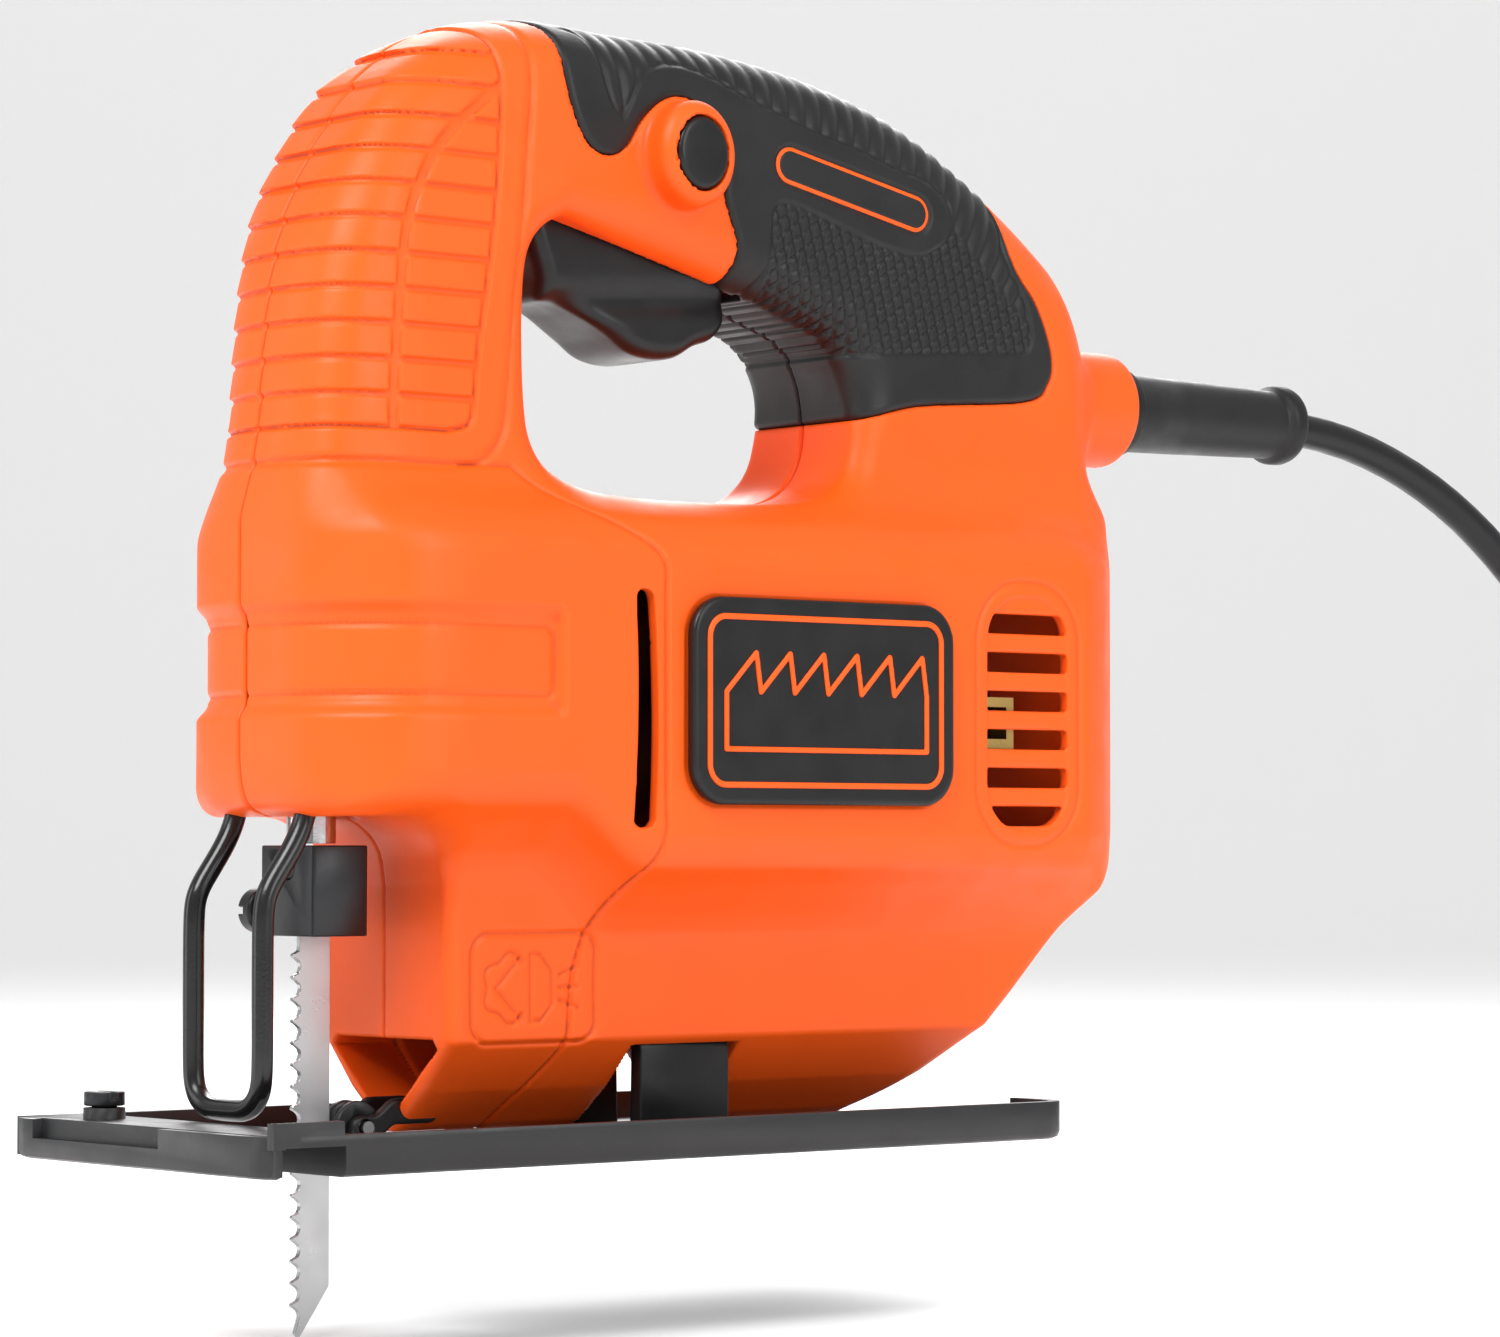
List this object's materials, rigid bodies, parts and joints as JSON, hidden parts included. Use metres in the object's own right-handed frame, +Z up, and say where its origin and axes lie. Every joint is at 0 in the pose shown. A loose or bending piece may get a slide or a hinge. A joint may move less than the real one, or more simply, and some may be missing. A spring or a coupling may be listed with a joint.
{
  "type": "corded jigsaw",
  "caption": "Compact corded jigsaw with a closed hand opening, soft grip, stamped tilting shoe, wire finger guard, reciprocating blade clamp and a coiled mains cord.",
  "frame": {"origin": "centre of the flat underside of the shoe, on the sole plane", "axes": "-Y is the cutting direction, +Z is up along the blade's stroke, +X is the tool's left side"},
  "size_m": [0.0982, 0.5158, 0.2211],
  "materials": {
    "shell_orange": "satin moulded",
    "grip_rubber": "matt textured",
    "black_plastic": "fine grained",
    "shoe_steel": "dark satin coat",
    "steel": "ground",
    "dark_steel": "blackened",
    "copper": "enamelled wire",
    "brass": "satin",
    "carbon": "dull",
    "cord_black": "satin"
  },
  "bodies": {
    "housing": {"housing_left": "shell_orange", "housing_right": "shell_orange", "grip_left": "grip_rubber", "grip_right": "grip_rubber", "badge_left": "black_plastic", "badge_right": "black_plastic", "switch_body": "black_plastic", "finger_guard": "black_plastic", "roller_carrier": "black_plastic", "strain_relief": "black_plastic", "trigger_spring": "steel", "bearing_front": "steel", "bearing_rear": "steel", "gear_shaft": "steel", "gear_plate": "steel", "roller_pin": "steel", "housing_screw_1": "dark_steel", "housing_screw_2": "dark_steel", "housing_screw_3": "dark_steel", "housing_screw_4": "dark_steel", "housing_screw_5": "dark_steel", "housing_screw_6": "dark_steel", "stator_core": "dark_steel", "bevel_screw": "dark_steel", "field_coil_front": "copper", "field_coil_rear": "copper", "brush_holder_left": "brass", "brush_holder_right": "brass", "bush_lower": "brass", "bush_upper": "brass", "plug_pin_1": "brass", "plug_pin_2": "brass", "brush_left": "carbon", "brush_right": "carbon", "cord_lead": "cord_black", "cord_coil": "cord_black", "cord_tail": "cord_black", "plug_body": "cord_black"},
    "armature": {"armature_shaft": "steel", "armature_core": "dark_steel", "armature_winding_front": "copper", "armature_winding_rear": "copper", "commutator": "copper", "fan": "black_plastic", "pinion": "steel"},
    "gear": {"gear": "steel"},
    "crank_roller": {"crank_roller": "steel"},
    "plunger": {"plunger": "steel", "blade_clamp": "black_plastic", "clamp_screw_side": "dark_steel", "clamp_screw_front": "dark_steel", "blade": "steel"},
    "guide_roller": {"guide_roller": "dark_steel"},
    "shoe": {"shoe": "shoe_steel", "bevel_bracket": "black_plastic", "fence_screw": "dark_steel"},
    "trigger": {"trigger": "black_plastic"},
    "lock_button": {"lock_button": "black_plastic"}
  },
  "joints": [
    {"name": "armature_spin", "type": "hinge", "parent": "housing", "child": "armature", "pos_m": [0, 0, 0.072], "axis": [0, 1, 0], "continuous": true},
    {"name": "gear_spin", "type": "hinge", "parent": "housing", "child": "gear", "pos_m": [0, 0, 0.0965], "axis": [0, 1, 0], "continuous": true},
    {"name": "crank_roller_spin", "type": "hinge", "parent": "gear", "child": "crank_roller", "pos_m": [0, 0, 0.1045], "axis": [0, 1, 0], "continuous": true},
    {"name": "blade_stroke", "type": "slide", "parent": "housing", "child": "plunger", "axis": [0, 0, 1], "range_m": [-0.016, 0]},
    {"name": "guide_roller_spin", "type": "hinge", "parent": "housing", "child": "guide_roller", "pos_m": [0, -0.042, 0.005], "axis": [1, 0, 0], "continuous": true},
    {"name": "bevel_tilt", "type": "hinge", "parent": "housing", "child": "shoe", "pos_m": [0, 0, 0.01], "axis": [0, 1, 0], "range_deg": [-45, 45]},
    {"name": "trigger_pull", "type": "slide", "parent": "housing", "child": "trigger", "axis": [0, 0, 1], "range_m": [0, 0.0055], "stiffness_N_per_m": 900, "springref_m": -0.004, "deforming": ["trigger_spring"]},
    {"name": "lock_button_press", "type": "slide", "parent": "housing", "child": "lock_button", "axis": [-1, 0, 0], "range_m": [0, 0.003], "stiffness_N_per_m": 600, "springref_m": -0.002}
  ],
  "couplings": [
    {"joint": "gear_spin", "follows": "armature_spin", "ratio": -0.11111}
  ]
}
